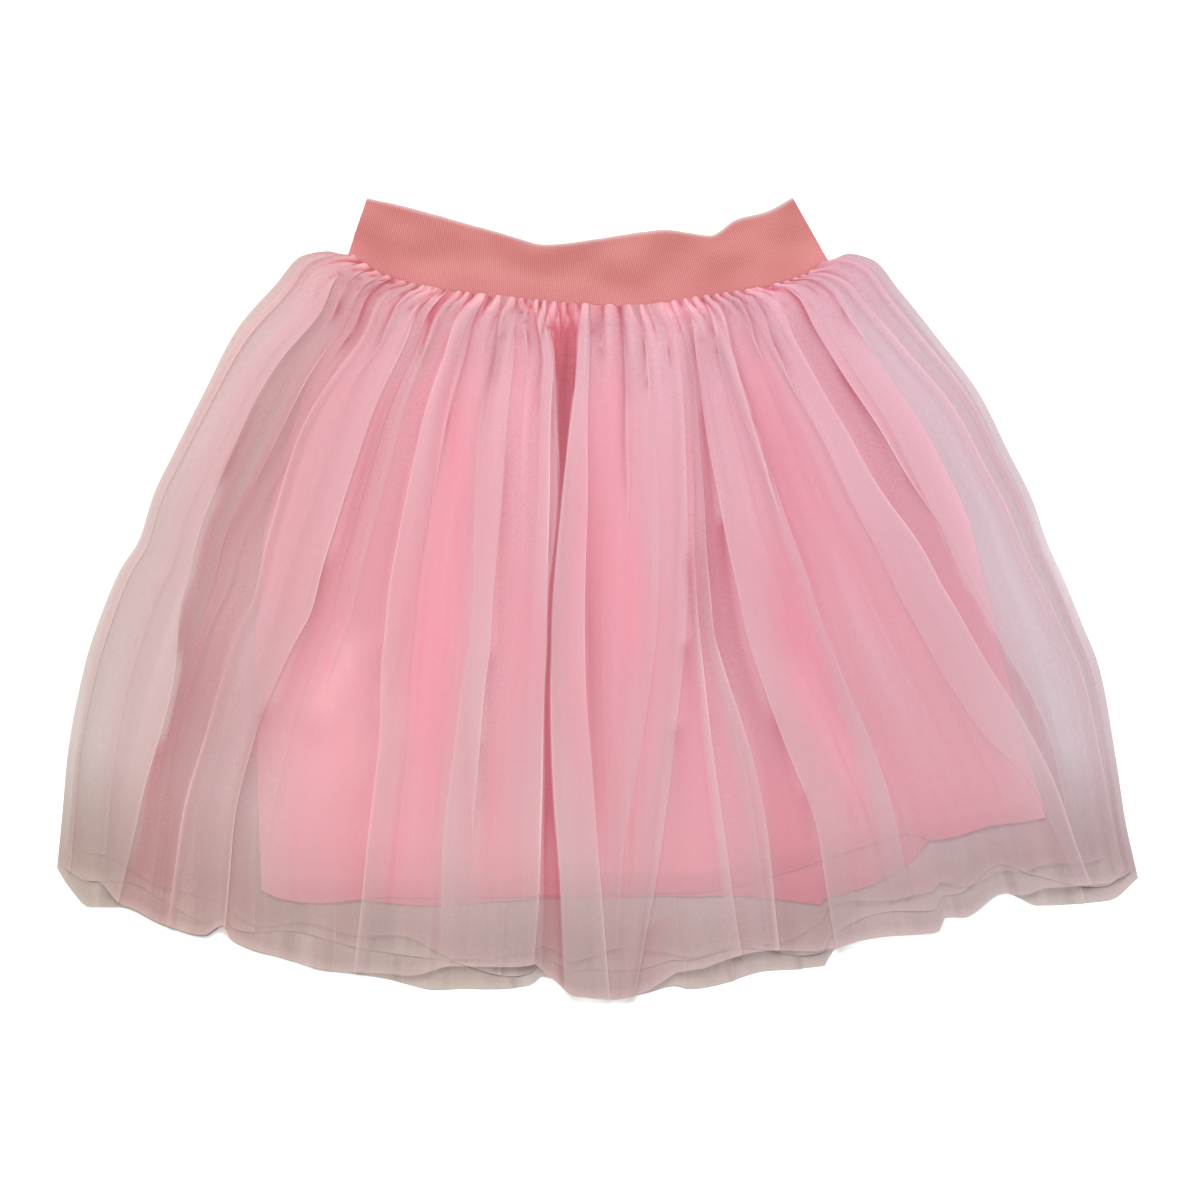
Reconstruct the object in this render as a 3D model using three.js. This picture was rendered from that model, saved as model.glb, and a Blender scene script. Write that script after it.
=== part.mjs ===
// Child's pull-on tulle skirt laid flat, front side up, waistband towards +Y.
// Millimetres. It rests on Z = 0, with the origin under the middle of its outline.
import * as THREE from 'three';

const { clamp, lerp, smoothstep } = THREE.MathUtils;

// Walls: every ply of cloth is one wall, and the plies lie one on the other
const CLOTH_WALL = 1;
const LAYER_GAP = 0.45;
const LAYER_STEP = CLOTH_WALL + LAYER_GAP;
const FRONT_PLY_STEP = LAYER_STEP + 0.3;
const STEEPEST_WALL = 2.4;
const SEAM_GAP = 0.5;

// Waistband: wide ribbed elastic, a flattened tube made of a front and a back half
const BAND_WALL = 2.8;
const BAND_FRONT_LOW = BAND_WALL + 0.3;
const BAND_SEAM_LOW = 4.4;
const BAND_BACK_DROP = 1.5;

// Loft: the gathered plies spring apart below the seam, and the front lies in a low mound.
// Where each change happens is a share of the way down, or of the way across from a side fold
const SPRING_END = 0.12;
const SIDE_RISE_AT_SEAM = 0.02;
const SIDE_RISE_BELOW = 0.065;
const HEM_SETTLE_FROM = 0.88;
const RAGGED_FROM = 0.84;
const BACK_PLEATS = 18;
const BACK_RISE = 1.6;
const GATHER_RISE = 2.4;
const FRONT_PUFF = 3;
const LINING_LIFT = 0.3;
const LINING_CLEARANCE = 1.1;
const HEM_SETTLE = 1.6;
const BULGE_REACH = 2.5;
const UNDER_SHARE = 0.45;

// Cut: the plies stop this far above the outermost hem
const SKIRT_LENGTH = 430;
const UNDER_FRONT_UP = 22;
const UNDER_FRONT_STEP_UP = 4;
const UNDER_BACK_UP = 14;
const UNDER_SIDE_IN = 0.004;
const LINING_BACK_LAYER = 2;
const LINING_FRONT_LAYER = 3;
const LINING_HEM_DEPTH = 0.03;
const LINING_HEM_WALL = 1.6;

// Line where the tulle is gathered onto the band
const SEAM = [
  { x: -152.2, y: 206.5 },
  { x: -130, y: 192.5 },
  { x: -100, y: 184.3 },
  { x: -60, y: 179.3 },
  { x: -15, y: 174.9 },
  { x: 22, y: 173.6 },
  { x: 60, y: 178.6 },
  { x: 100, y: 184.8 },
  { x: 125, y: 192 },
  { x: 140.6, y: 202.8 },
];

// Top edge of the band, which sags towards the middle
const BAND_TOP = [
  { x: -140.6, y: 242 },
  { x: -126.6, y: 239.4 },
  { x: -90, y: 229.7 },
  { x: -53.4, y: 219.3 },
  { x: -32, y: 213.8 },
  { x: 19.8, y: 220.5 },
  { x: 41.2, y: 223 },
  { x: 68.6, y: 219.3 },
  { x: 84, y: 229 },
  { x: 102.2, y: 234.5 },
  { x: 119.3, y: 245.8 },
];

// Side folds of the skirt, by the share of the way down from the seam to the hem
const SIDES = [
  { down: 0, leftX: -152.2, leftY: 206.5, rightX: 140.6, rightY: 202.8 },
  { down: 0.03, leftX: -164.5, leftY: 210, rightX: 153, rightY: 208.5 },
  { down: 0.065, leftX: -179.5, leftY: 207.5, rightX: 167.5, rightY: 205 },
  { down: 0.12, leftX: -196.5, leftY: 189.5, rightX: 183.5, rightY: 187 },
  { down: 0.2, leftX: -219.6, leftY: 163, rightX: 206, rightY: 159 },
  { down: 0.3, leftX: -240, leftY: 124, rightX: 233, rightY: 123 },
  { down: 0.39, leftX: -257.7, leftY: 88.8, rightX: 251, rightY: 87 },
  { down: 0.46, leftX: -271, leftY: 61.3, rightX: 265, rightY: 59 },
  { down: 0.525, leftX: -279.7, leftY: 34, rightX: 274.7, rightY: 31.5 },
  { down: 0.575, leftX: -291.3, leftY: 15.6, rightX: 284, rightY: 11.3 },
  { down: 0.64, leftX: -302.6, leftY: -11, rightX: 295, rightY: -15.6 },
  { down: 0.71, leftX: -312.3, leftY: -40.3, rightX: 306.4, rightY: -45 },
  { down: 0.84, leftX: -323.2, leftY: -96, rightX: 316.6, rightY: -102 },
  { down: 0.92, leftX: -326.3, leftY: -131, rightX: 322, rightY: -137.5 },
  { down: 1, leftX: -329.7, leftY: -166.2, rightX: 329.7, rightY: -172.3 },
];

// Hem as it was cut, one smooth line
const HEM_LINE = [
  { x: -329.7, y: -166.2 },
  { x: -285, y: -190 },
  { x: -220, y: -210 },
  { x: -130, y: -231 },
  { x: 0, y: -241 },
  { x: 60, y: -238 },
  { x: 140, y: -219 },
  { x: 230, y: -195 },
  { x: 329.7, y: -172.3 },
];

// Outermost hem as it lies, uneven where the raw edges of the net hang past each other
const HEM = [
  { x: -329.7, y: -166.2 },
  { x: -323, y: -177 },
  { x: -309.6, y: -190 },
  { x: -291.3, y: -190 },
  { x: -263.8, y: -201.6 },
  { x: -239.4, y: -207.7 },
  { x: -228, y: -201.6 },
  { x: -223.6, y: -210.1 },
  { x: -190.6, y: -221.7 },
  { x: -163.2, y: -229.1 },
  { x: -135.7, y: -232.1 },
  { x: -99.1, y: -240 },
  { x: -53.4, y: -239.4 },
  { x: -40, y: -237.6 },
  { x: -34.5, y: -232.1 },
  { x: -29, y: -232.7 },
  { x: -13.7, y: -244.3 },
  { x: 10.7, y: -245.8 },
  { x: 29, y: -242.5 },
  { x: 47.3, y: -237.6 },
  { x: 56.4, y: -240 },
  { x: 102.2, y: -229.1 },
  { x: 139.4, y: -225.4 },
  { x: 143, y: -216.2 },
  { x: 175.4, y: -207.7 },
  { x: 207.7, y: -205.3 },
  { x: 212, y: -196.1 },
  { x: 222.3, y: -196.1 },
  { x: 248.6, y: -181.5 },
  { x: 268.7, y: -188.8 },
  { x: 312.6, y: -185.7 },
  { x: 329.7, y: -172.3 },
];

// How far the front ply stops above the outermost hem
const FRONT_HEM = [
  { x: -329, up: 6 },
  { x: -306, up: 15 },
  { x: -288, up: 2 },
  { x: -163, up: 1 },
  { x: -120, up: 5 },
  { x: -88, up: 14 },
  { x: -40, up: 13 },
  { x: -29, up: 0 },
  { x: 22, up: 0 },
  { x: 50, up: 9 },
  { x: 80, up: 14 },
  { x: 139, up: 9 },
  { x: 146, up: 0 },
  { x: 250, up: 0 },
  { x: 275, up: 11 },
  { x: 316, up: 10 },
  { x: 330, up: 5 },
];

// Pleats from left to right: where each one's right edge leaves the seam and meets the hem,
// how many small gathers it holds at the seam, how high it stands and where its crest lies
const PLEATS = [
  { seam: -147.3, hem: -306.5, gathers: 1, rise: 2, crest: 0.5 },
  { seam: -140, hem: -288, gathers: 1, rise: 3, crest: 0.7 },
  { seam: -131.5, hem: -262, gathers: 1, rise: 3.5, crest: 0.6 },
  { seam: -121.7, hem: -242.5, gathers: 1, rise: 3, crest: 0.5 },
  { seam: -99.1, hem: -225.4, gathers: 3, rise: 6, crest: 0.75 },
  { seam: -86.9, hem: -181.5, gathers: 2, rise: 3, crest: 0.4 },
  { seam: -77.8, hem: -143.7, gathers: 1, rise: 3, crest: 0.5 },
  { seam: -65.6, hem: -120.5, gathers: 1, rise: 6, crest: 0.3 },
  { seam: -49.1, hem: -96.1, gathers: 2, rise: 4, crest: 0.6 },
  { seam: -27.1, hem: -36.3, gathers: 3, rise: 6, crest: 0.75 },
  { seam: -19, hem: -21.7, gathers: 1, rise: 1, crest: 0.5 },
  { seam: 4.6, hem: 4, gathers: 3, rise: 6, crest: 0.3 },
  { seam: 12.5, hem: 10, gathers: 1, rise: 1.5, crest: 0.5 },
  { seam: 42, hem: 24, gathers: 4, rise: 7, crest: 0.7 },
  { seam: 47, hem: 62, gathers: 1, rise: 3, crest: 0.5 },
  { seam: 51.8, hem: 100, gathers: 1, rise: 4, crest: 0.5 },
  { seam: 56.4, hem: 141.8, gathers: 1, rise: 3, crest: 0.4 },
  { seam: 69, hem: 182.7, gathers: 2, rise: 6, crest: 0.3 },
  { seam: 75.5, hem: 218, gathers: 1, rise: 4, crest: 0.5 },
  { seam: 82, hem: 254.7, gathers: 1, rise: 3, crest: 0.5 },
  { seam: 90, hem: 300, gathers: 1, rise: 4, crest: 0.5 },
  { seam: 108.3, hem: 311, gathers: 2, rise: 6, crest: 0.3 },
  { seam: 128.4, hem: 319.5, gathers: 2, rise: 3, crest: 0.5 },
  { seam: 140.6, hem: 329.7, gathers: 1, rise: 2, crest: 0.5 },
];

// How the relief swells and dies away on the way down
const SWELL = [
  { down: 0, pleat: 0.15, gather: 0.55, puff: 0 },
  { down: 0.04, pleat: 0.35, gather: 1, puff: 0.4 },
  { down: 0.15, pleat: 0.85, gather: 0.7, puff: 1 },
  { down: 0.35, pleat: 1, gather: 0.1, puff: 0.9 },
  { down: 0.6, pleat: 0.8, gather: 0, puff: 0.6 },
  { down: 1, pleat: 0.45, gather: 0, puff: 0.1 },
];

// Side edges of the lining, as shares of the way across the skirt
const LINING_SIDES = [
  { down: 0, left: 0.04, right: 0.96 },
  { down: 0.04, left: 0.085, right: 0.925 },
  { down: 0.12, left: 0.1, right: 0.92 },
  { down: 0.3, left: 0.108, right: 0.926 },
  { down: 0.42, left: 0.117, right: 0.932 },
  { down: 0.5, left: 0.128, right: 0.929 },
  { down: 0.72, left: 0.168, right: 0.914 },
  { down: 0.9, left: 0.185, right: 0.928 },
  { down: 1, left: 0.19, right: 0.93 },
];

// Hems of the lining, by the share of the way across it
const LINING_FRONT_HEM = [
  { across: 0, down: 0.92 },
  { across: 0.167, down: 0.89 },
  { across: 0.37, down: 0.869 },
  { across: 0.44, down: 0.864 },
  { across: 0.62, down: 0.871 },
  { across: 0.76, down: 0.863 },
  { across: 0.827, down: 0.86 },
  { across: 0.863, down: 0.882 },
  { across: 1, down: 0.885 },
];
const LINING_BACK_HEM = [
  { across: 0, down: 0.909 },
  { across: 0.18, down: 0.897 },
  { across: 0.44, down: 0.868 },
  { across: 0.57, down: 0.876 },
  { across: 0.69, down: 0.914 },
  { across: 0.73, down: 0.925 },
  { across: 0.77, down: 0.922 },
  { across: 0.82, down: 0.903 },
  { across: 0.86, down: 0.877 },
  { across: 1, down: 0.879 },
];

// Mesh grids: rows lie closer together near the seam, where the cloth turns most
const PLY_ROWS = [0, 0.035, 0.085, 0.18, 0.32, 0.47, 0.64, 0.82, 1];
const LINING_ROWS = [0, 0.08, 0.2, 0.4, 0.6, 0.8, 1 - LINING_HEM_DEPTH, 1];
const GATHER_COLUMNS = 4;
const HEM_COLUMN_WIDTH = 10;
const UNDER_PLEAT_COLUMNS = 3;
const BACK_PLEAT_COLUMNS = 4;
const LINING_COLUMNS = 32;
const BAND_ROWS = 2;
const BAND_COLUMNS = 48;

const COLOURS = {
  band: 0xd9867f,
  tulle: 0xd8b4b6,
  underTulle: 0xcfa6aa,
  lining: 0xdf8f9e,
};

function slopeAfter(rows, key, column, row) {
  const from = rows[clamp(row, 0, rows.length - 2)];
  const to = rows[clamp(row, 0, rows.length - 2) + 1];
  return (to[column] - from[column]) / (to[key] - from[key]);
}

// Slope of a table's column at one row, level where the column turns
function tangent(rows, key, column, row) {
  const before = slopeAfter(rows, key, column, row - 1);
  const after = slopeAfter(rows, key, column, row);
  return before * after > 0 ? (2 * before * after) / (before + after) : 0;
}

// Smooth line through a table's rows that never swings past them
function follow(rows, key, column, at) {
  let row = 0;
  while (row < rows.length - 2 && rows[row + 1][key] < at) row += 1;
  const span = rows[row + 1][key] - rows[row][key];
  const t = clamp((at - rows[row][key]) / span, 0, 1);
  const leave = tangent(rows, key, column, row) * span;
  const arrive = tangent(rows, key, column, row + 1) * span;
  const start = rows[row][column];
  const end = rows[row + 1][column];
  const ease = t * t * (3 - 2 * t);
  return lerp(start, end, ease) + t * (1 - t) * ((1 - t) * leave - t * arrive);
}

function edgePoint(edge, across) {
  const x = lerp(edge[0].x, edge[edge.length - 1].x, across);
  return new THREE.Vector2(x, follow(edge, 'x', 'y', x));
}

function sidePoint(side, down) {
  return new THREE.Vector2(
    follow(SIDES, 'down', `${side}X`, down),
    follow(SIDES, 'down', `${side}Y`, down),
  );
}

function fanPoint(across, down) {
  return edgePoint(SEAM, across).lerp(edgePoint(HEM_LINE, across), down);
}

// Plan of the whole skirt: straight lines fan from the seam to the hem, and bulge out at the sides
function plan(across, down) {
  const leftBulge = sidePoint('left', down).sub(fanPoint(0, down));
  const rightBulge = sidePoint('right', down).sub(fanPoint(1, down));
  return fanPoint(across, down)
    .addScaledVector(leftBulge, (1 - across) ** BULGE_REACH)
    .addScaledVector(rightBulge, across ** BULGE_REACH);
}

// How far the raw edge of the net strays from the line it was cut to, dying away above the hem
function ragged(across, down) {
  return (edgePoint(HEM, across).y - edgePoint(HEM_LINE, across).y) * smoothstep(down, RAGGED_FROM, 1);
}

function shareAcross(edge, x) {
  const first = edge[0].x;
  return (x - first) / (edge[edge.length - 1].x - first);
}

// One column of cloth: its pleat, its place between the pleat's edges and its line down the skirt
function pleatColumns(columnsIn) {
  const columns = [];
  let left = { seam: SEAM[0].x, hem: HEM[0].x };
  for (const pleat of PLEATS) {
    const count = columnsIn(pleat, pleat.hem - left.hem);
    for (let step = columns.length === 0 ? 0 : 1; step <= count; step += 1) {
      const place = step / count;
      columns.push({
        pleat,
        place,
        seamAcross: shareAcross(SEAM, lerp(left.seam, pleat.seam, place)),
        hemAcross: shareAcross(HEM, lerp(left.hem, pleat.hem, place)),
      });
    }
    left = pleat;
  }
  return columns;
}

function evenColumns(count) {
  return Array.from({ length: count + 1 }, (unused, i) => ({ seamAcross: i / count, hemAcross: i / count }));
}

// The plies spring apart below the seam, and close up towards the side folds
function spring(down) {
  return smoothstep(down, 0, SPRING_END);
}

function sideRise(across, down) {
  const width = lerp(SIDE_RISE_AT_SEAM, SIDE_RISE_BELOW, spring(down));
  return smoothstep(Math.min(across, 1 - across), 0, width);
}

function pleatWave(place, crest) {
  const share = place < crest ? place / crest : (1 - place) / (1 - crest);
  return Math.sin((Math.PI / 2) * share) ** 2;
}

function gatherWave(place, gathers) {
  return Math.sin(Math.PI * place * gathers) ** 2;
}

// Back pleats: each one is a ridge beside a flat strip that the skirt lies on
function backRelief(column, across, down) {
  const wave = Math.max(0, Math.sin(2 * Math.PI * BACK_PLEATS * across));
  return BACK_RISE * spring(down) * sideRise(across, down) * wave;
}

function frontBase(across, down) {
  const side = sideRise(across, down);
  const overLinings = 2 * LAYER_STEP + (BACK_RISE + LINING_CLEARANCE) * spring(down);
  const settle = HEM_SETTLE * smoothstep(down, HEM_SETTLE_FROM, 1);
  const mound = FRONT_PUFF * follow(SWELL, 'down', 'puff', down) * Math.sqrt(Math.sin(Math.PI * across));
  return 2 * LAYER_STEP + side * (overLinings - settle + mound);
}

function frontPleats(column, across, down) {
  const { pleat, place } = column;
  const swell = follow(SWELL, 'down', 'pleat', down);
  return pleat.rise * swell * pleatWave(place, pleat.crest) * sideRise(across, down);
}

function frontGathers(column, down) {
  return GATHER_RISE * follow(SWELL, 'down', 'gather', down) * gatherWave(column.place, column.pleat.gathers);
}

function liningLow(layer, down) {
  return layer * LAYER_STEP + (BACK_RISE + LINING_LIFT) * spring(down);
}

// Raises each point's upper face so that the wall keeps its thickness on a slope
function thicken(grid) {
  grid.forEach((column, i) => {
    column.forEach((point, j) => {
      const before = grid[Math.max(i - 1, 0)][j];
      const after = grid[Math.min(i + 1, grid.length - 1)][j];
      const run = Math.hypot(after.x - before.x, after.y - before.y);
      const slope = (after.low - before.low) / run;
      point.high = point.low + Math.min(point.wall * Math.hypot(1, slope), STEEPEST_WALL * point.wall);
    });
  });
}

// Closed wall over a grid of points, each with a lower and an upper face height
function wallGeometry(grid) {
  thicken(grid);
  const columns = grid.length;
  const rows = grid[0].length;
  const points = grid.flat();
  const under = columns * rows;
  const lastColumn = columns - 1;
  const lastRow = rows - 1;
  const upper = points.map(({ x, y, high }) => [x, y, high]);
  const lower = points.map(({ x, y, low }) => [x, y, low]);
  const faces = [];
  const quad = (a, b, c, d) => faces.push(a, b, c, a, c, d);
  const at = (i, j) => i * rows + j;
  for (let i = 0; i < lastColumn; i += 1) {
    for (let j = 0; j < lastRow; j += 1) {
      quad(at(i, j), at(i, j + 1), at(i + 1, j + 1), at(i + 1, j));
      quad(under + at(i, j), under + at(i + 1, j), under + at(i + 1, j + 1), under + at(i, j + 1));
    }
    quad(at(i, 0), at(i + 1, 0), under + at(i + 1, 0), under + at(i, 0));
    quad(at(i + 1, lastRow), at(i, lastRow), under + at(i, lastRow), under + at(i + 1, lastRow));
  }
  for (let j = 0; j < lastRow; j += 1) {
    quad(at(0, j + 1), at(0, j), under + at(0, j), under + at(0, j + 1));
    quad(at(lastColumn, j), at(lastColumn, j + 1), under + at(lastColumn, j + 1), under + at(lastColumn, j));
  }
  const geometry = new THREE.BufferGeometry();
  geometry.setAttribute('position', new THREE.Float32BufferAttribute([...upper, ...lower].flat(), 3));
  geometry.setIndex(faces);
  geometry.computeVertexNormals();
  return geometry;
}

// Ply of tulle: columns run down the pleats, and its hem stops short of the outermost one
function tulleGrid({ columns, hemUp, sideIn, low }) {
  return columns.map((column) => PLY_ROWS.map((share) => {
    const hemX = lerp(HEM[0].x, HEM[HEM.length - 1].x, column.hemAcross);
    const down = share * (1 - hemUp(hemX) / SKIRT_LENGTH);
    const across = lerp(column.seamAcross, column.hemAcross, down);
    const { x, y } = plan(clamp(across, sideIn, 1 - sideIn), down);
    return { x, y: y + ragged(across, down), low: low(column, across, down), wall: CLOTH_WALL };
  }));
}

// Half of the lining: straight sides, a turned hem, and no folds of its own
function liningGrid(hem, layer) {
  return Array.from({ length: LINING_COLUMNS + 1 }, (unused, i) => LINING_ROWS.map((share, j) => {
    const place = i / LINING_COLUMNS;
    const down = share * follow(hem, 'across', 'down', place);
    const left = follow(LINING_SIDES, 'down', 'left', down);
    const right = follow(LINING_SIDES, 'down', 'right', down);
    const { x, y } = plan(lerp(left, right, place), down);
    const turned = layer === LINING_FRONT_LAYER && j >= LINING_ROWS.length - 2;
    const wall = turned ? LINING_HEM_WALL : CLOTH_WALL;
    return { x, y, low: liningLow(layer, down), wall };
  }));
}

// Half of the waistband, from the seam up to its sagging top edge
function bandGrid({ topDrop, seamLow, topLow }) {
  return Array.from({ length: BAND_COLUMNS + 1 }, (unused, i) => {
    const across = i / BAND_COLUMNS;
    const top = edgePoint(BAND_TOP, across).add(new THREE.Vector2(0, -topDrop));
    const seam = edgePoint(SEAM, across).add(new THREE.Vector2(0, SEAM_GAP));
    return Array.from({ length: BAND_ROWS + 1 }, (unusedRow, j) => {
      const { x, y } = top.clone().lerp(seam, j / BAND_ROWS);
      return { x, y, low: lerp(topLow, seamLow, j / BAND_ROWS), wall: BAND_WALL };
    });
  });
}

function gatherColumns(pleat, hemWidth) {
  return Math.max(GATHER_COLUMNS * pleat.gathers, Math.ceil(hemWidth / HEM_COLUMN_WIDTH));
}

function cloth(name, colour, grid) {
  const material = new THREE.MeshStandardMaterial({ color: colour, roughness: 0.85, metalness: 0 });
  const mesh = new THREE.Mesh(wallGeometry(grid), material);
  mesh.name = name;
  return mesh;
}

const tulleTopBack = cloth('tulle_top_back', COLOURS.tulle, tulleGrid({
  columns: evenColumns(BACK_PLEATS * BACK_PLEAT_COLUMNS),
  hemUp: () => 0,
  sideIn: 0,
  low: backRelief,
}));

const tulleUnderBack = cloth('tulle_under_back', COLOURS.underTulle, tulleGrid({
  columns: evenColumns(BACK_PLEATS * BACK_PLEAT_COLUMNS),
  hemUp: () => UNDER_BACK_UP,
  sideIn: UNDER_SIDE_IN,
  low: (column, across, down) => LAYER_STEP + backRelief(column, across, down),
}));

const liningBack = cloth('lining_back', COLOURS.lining, liningGrid(LINING_BACK_HEM, LINING_BACK_LAYER));
const liningFront = cloth('lining_front', COLOURS.lining, liningGrid(LINING_FRONT_HEM, LINING_FRONT_LAYER));

const tulleUnderFront = cloth('tulle_under_front', COLOURS.underTulle, tulleGrid({
  columns: pleatColumns(() => UNDER_PLEAT_COLUMNS),
  hemUp: (x) => Math.max(UNDER_FRONT_UP, follow(FRONT_HEM, 'x', 'up', x) + UNDER_FRONT_STEP_UP),
  sideIn: UNDER_SIDE_IN,
  low: (column, across, down) => frontBase(across, down) + UNDER_SHARE * frontPleats(column, across, down),
}));

const tulleTopFront = cloth('tulle_top_front', COLOURS.tulle, tulleGrid({
  columns: pleatColumns(gatherColumns),
  hemUp: (x) => follow(FRONT_HEM, 'x', 'up', x),
  sideIn: 0,
  low: (column, across, down) => FRONT_PLY_STEP + frontBase(across, down)
    + frontPleats(column, across, down) + frontGathers(column, down),
}));

const waistbandBack = cloth('waistband_back', COLOURS.band, bandGrid({
  topDrop: BAND_BACK_DROP,
  seamLow: 0,
  topLow: 0,
}));

const waistbandFront = cloth('waistband_front', COLOURS.band, bandGrid({
  topDrop: 0,
  seamLow: BAND_SEAM_LOW,
  topLow: BAND_FRONT_LOW,
}));

const skirt = new THREE.Group();
skirt.add(tulleTopBack, tulleUnderBack, liningBack, liningFront);
skirt.add(tulleUnderFront, tulleTopFront, waistbandBack, waistbandFront);

export default skirt;
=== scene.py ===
"""Child's pull-on tulle skirt laid flat, front side up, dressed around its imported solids. Metres."""
import math

import bmesh
import bpy
import numpy as np
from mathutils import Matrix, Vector
from mathutils.bvhtree import BVHTree


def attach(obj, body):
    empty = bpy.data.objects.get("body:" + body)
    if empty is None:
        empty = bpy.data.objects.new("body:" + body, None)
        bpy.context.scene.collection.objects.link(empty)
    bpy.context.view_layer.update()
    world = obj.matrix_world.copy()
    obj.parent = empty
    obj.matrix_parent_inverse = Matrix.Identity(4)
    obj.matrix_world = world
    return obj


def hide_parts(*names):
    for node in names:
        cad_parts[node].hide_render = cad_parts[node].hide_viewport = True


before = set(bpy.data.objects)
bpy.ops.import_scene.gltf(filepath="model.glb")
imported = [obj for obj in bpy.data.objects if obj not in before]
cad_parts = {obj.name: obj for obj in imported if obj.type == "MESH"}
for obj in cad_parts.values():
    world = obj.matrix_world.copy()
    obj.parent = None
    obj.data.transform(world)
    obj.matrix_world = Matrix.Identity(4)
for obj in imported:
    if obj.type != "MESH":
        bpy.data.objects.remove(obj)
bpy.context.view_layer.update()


# Outer tulle, back
# The outermost ply of soft net on the side that the skirt lies on. It is gathered evenly into the
# waistband, falls in narrow pleats, and is cut raw at the hem, so it shows past every other edge.
SEAM = [
    {"x": -0.1522, "y": 0.2065},
    {"x": -0.13, "y": 0.1925},
    {"x": -0.1, "y": 0.1843},
    {"x": -0.06, "y": 0.1793},
    {"x": -0.015, "y": 0.1749},
    {"x": 0.022, "y": 0.1736},
    {"x": 0.06, "y": 0.1786},
    {"x": 0.1, "y": 0.1848},
    {"x": 0.125, "y": 0.192},
    {"x": 0.1406, "y": 0.2028},
]

# Side folds of the skirt, by the share of the way down from the seam to the hem
SIDES = [
    {"down": 0, "left_x": -0.1522, "left_y": 0.2065, "right_x": 0.1406, "right_y": 0.2028},
    {"down": 0.03, "left_x": -0.1645, "left_y": 0.21, "right_x": 0.153, "right_y": 0.2085},
    {"down": 0.065, "left_x": -0.1795, "left_y": 0.2075, "right_x": 0.1675, "right_y": 0.205},
    {"down": 0.12, "left_x": -0.1965, "left_y": 0.1895, "right_x": 0.1835, "right_y": 0.187},
    {"down": 0.2, "left_x": -0.2196, "left_y": 0.163, "right_x": 0.206, "right_y": 0.159},
    {"down": 0.3, "left_x": -0.24, "left_y": 0.124, "right_x": 0.233, "right_y": 0.123},
    {"down": 0.39, "left_x": -0.2577, "left_y": 0.0888, "right_x": 0.251, "right_y": 0.087},
    {"down": 0.46, "left_x": -0.271, "left_y": 0.0613, "right_x": 0.265, "right_y": 0.059},
    {"down": 0.525, "left_x": -0.2797, "left_y": 0.034, "right_x": 0.2747, "right_y": 0.0315},
    {"down": 0.575, "left_x": -0.2913, "left_y": 0.0156, "right_x": 0.284, "right_y": 0.0113},
    {"down": 0.64, "left_x": -0.3026, "left_y": -0.011, "right_x": 0.295, "right_y": -0.0156},
    {"down": 0.71, "left_x": -0.3123, "left_y": -0.0403, "right_x": 0.3064, "right_y": -0.045},
    {"down": 0.84, "left_x": -0.3232, "left_y": -0.096, "right_x": 0.3166, "right_y": -0.102},
    {"down": 0.92, "left_x": -0.3263, "left_y": -0.131, "right_x": 0.322, "right_y": -0.1375},
    {"down": 1, "left_x": -0.3297, "left_y": -0.1662, "right_x": 0.3297, "right_y": -0.1723},
]

# Hem as it was cut, and the outermost raw edge as it lies
HEM_LINE = [
    {"x": -0.3297, "y": -0.1662},
    {"x": -0.285, "y": -0.19},
    {"x": -0.22, "y": -0.21},
    {"x": -0.13, "y": -0.231},
    {"x": 0, "y": -0.241},
    {"x": 0.06, "y": -0.238},
    {"x": 0.14, "y": -0.219},
    {"x": 0.23, "y": -0.195},
    {"x": 0.3297, "y": -0.1723},
]
HEM = [
    {"x": -0.3297, "y": -0.1662},
    {"x": -0.323, "y": -0.177},
    {"x": -0.3096, "y": -0.19},
    {"x": -0.2913, "y": -0.19},
    {"x": -0.2638, "y": -0.2016},
    {"x": -0.2394, "y": -0.2077},
    {"x": -0.228, "y": -0.2016},
    {"x": -0.2236, "y": -0.2101},
    {"x": -0.1906, "y": -0.2217},
    {"x": -0.1632, "y": -0.2291},
    {"x": -0.1357, "y": -0.2321},
    {"x": -0.0991, "y": -0.24},
    {"x": -0.0534, "y": -0.2394},
    {"x": -0.04, "y": -0.2376},
    {"x": -0.0345, "y": -0.2321},
    {"x": -0.029, "y": -0.2327},
    {"x": -0.0137, "y": -0.2443},
    {"x": 0.0107, "y": -0.2458},
    {"x": 0.029, "y": -0.2425},
    {"x": 0.0473, "y": -0.2376},
    {"x": 0.0564, "y": -0.24},
    {"x": 0.1022, "y": -0.2291},
    {"x": 0.1394, "y": -0.2254},
    {"x": 0.143, "y": -0.2162},
    {"x": 0.1754, "y": -0.2077},
    {"x": 0.2077, "y": -0.2053},
    {"x": 0.212, "y": -0.1961},
    {"x": 0.2223, "y": -0.1961},
    {"x": 0.2486, "y": -0.1815},
    {"x": 0.2687, "y": -0.1888},
    {"x": 0.3126, "y": -0.1857},
    {"x": 0.3297, "y": -0.1723},
]
RAGGED_FROM = 0.84
BULGE_REACH = 2.5
SKIRT_LENGTH = 0.43


def follow(rows, key, column, at):
    """Smooth line through a table's rows that never swings past them."""
    at = np.asarray(at, float)
    x = np.array([row[key] for row in rows], float)
    y = np.array([row[column] for row in rows], float)
    span = np.diff(x)
    slope = np.diff(y) / span
    before = np.concatenate([slope[:1], slope])
    after = np.concatenate([slope, slope[-1:]])
    turns = before * after <= 0
    tangent = np.where(turns, 0, 2 * before * after / np.where(turns, 1, before + after))
    row = np.clip(np.searchsorted(x, at) - 1, 0, len(x) - 2)
    t = np.clip((at - x[row]) / span[row], 0, 1)
    ease = t * t * (3 - 2 * t)
    bend = (1 - t) * tangent[row] * span[row] - t * tangent[row + 1] * span[row]
    return y[row] + (y[row + 1] - y[row]) * ease + t * (1 - t) * bend


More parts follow.
